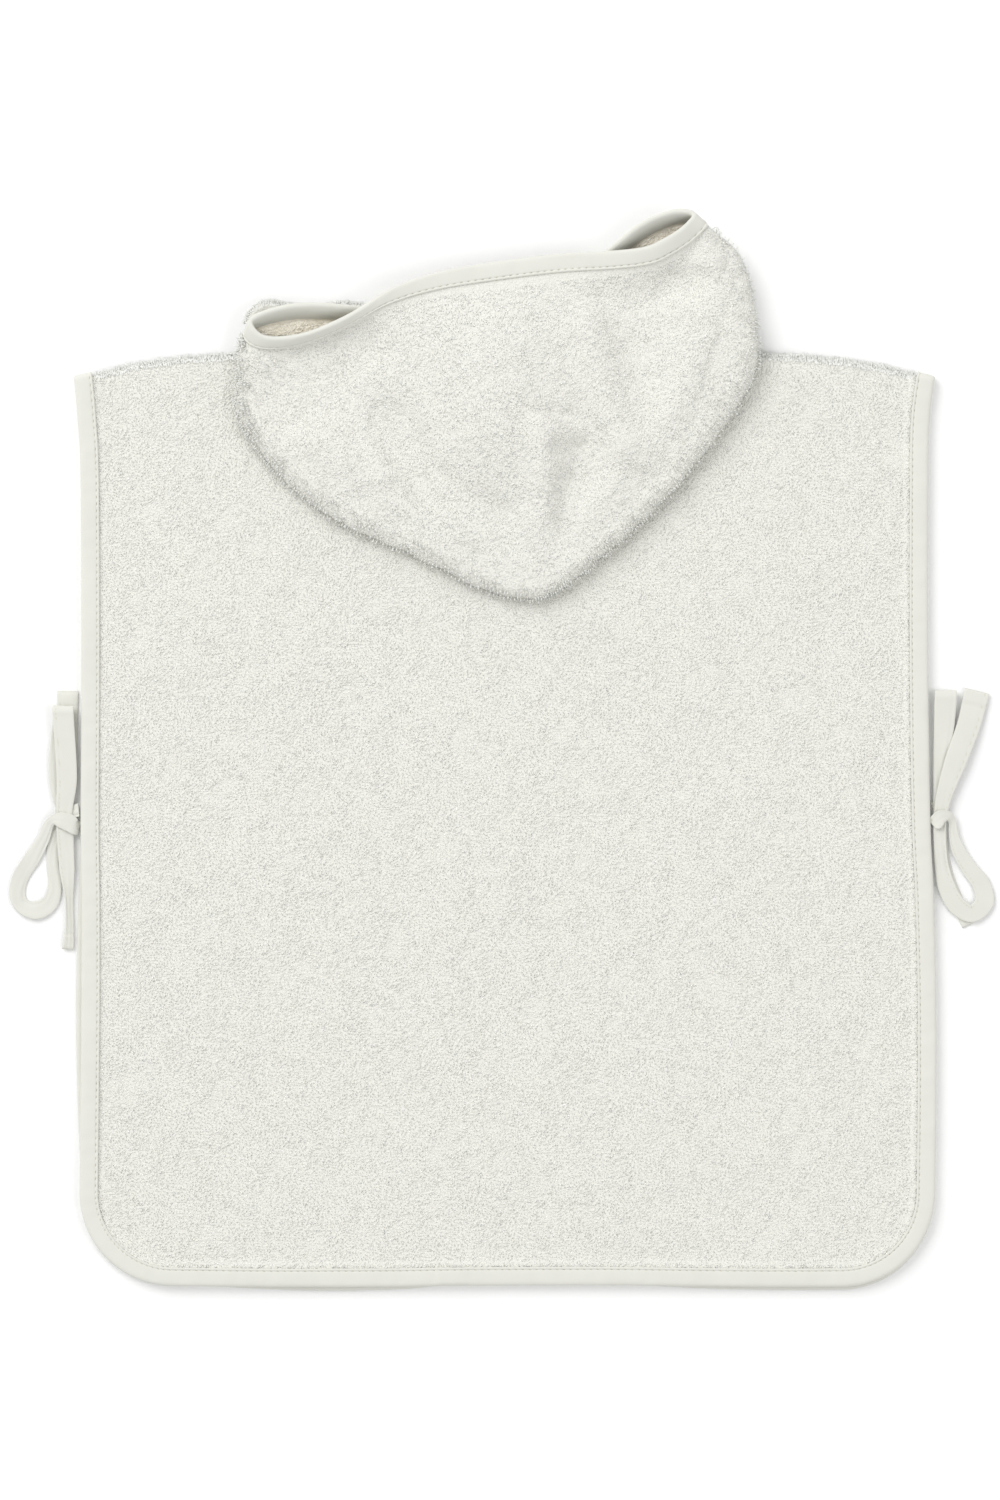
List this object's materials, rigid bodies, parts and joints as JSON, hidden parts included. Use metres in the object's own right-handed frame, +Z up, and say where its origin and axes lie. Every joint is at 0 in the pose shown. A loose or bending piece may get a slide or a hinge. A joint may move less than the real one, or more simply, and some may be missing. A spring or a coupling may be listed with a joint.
{
  "type": "hooded bath poncho",
  "caption": "Hooded terry bath poncho for a small child, laid flat with its back up, its hood flopped down on the back, taped edges and a tape bow at each side.",
  "frame": {"origin": "bottom centre of the whole box, on the surface that the poncho lies on", "axes": "+X to the right of the picture, +Y from the hem towards the hood's mouth, +Z up from the surface"},
  "size_m": [0.5788, 0.635, 0.0266],
  "materials": {
    "terry": "matte cream cotton terry with loop pile",
    "bias_tape": "matte cream cotton jersey tape, folded and stitched",
    "tie_tape": "matte cream cotton tape, folded and stitched"
  },
  "bodies": {
    "root": {"front_panel": "terry", "back_panel": "terry", "edge_binding": "bias_tape", "hood_left": "terry", "hood_right": "terry", "hood_binding": "bias_tape", "tie_left_back": "tie_tape", "tie_left_front": "tie_tape", "tie_right_back": "tie_tape", "tie_right_front": "tie_tape"}
  },
  "joints": []
}
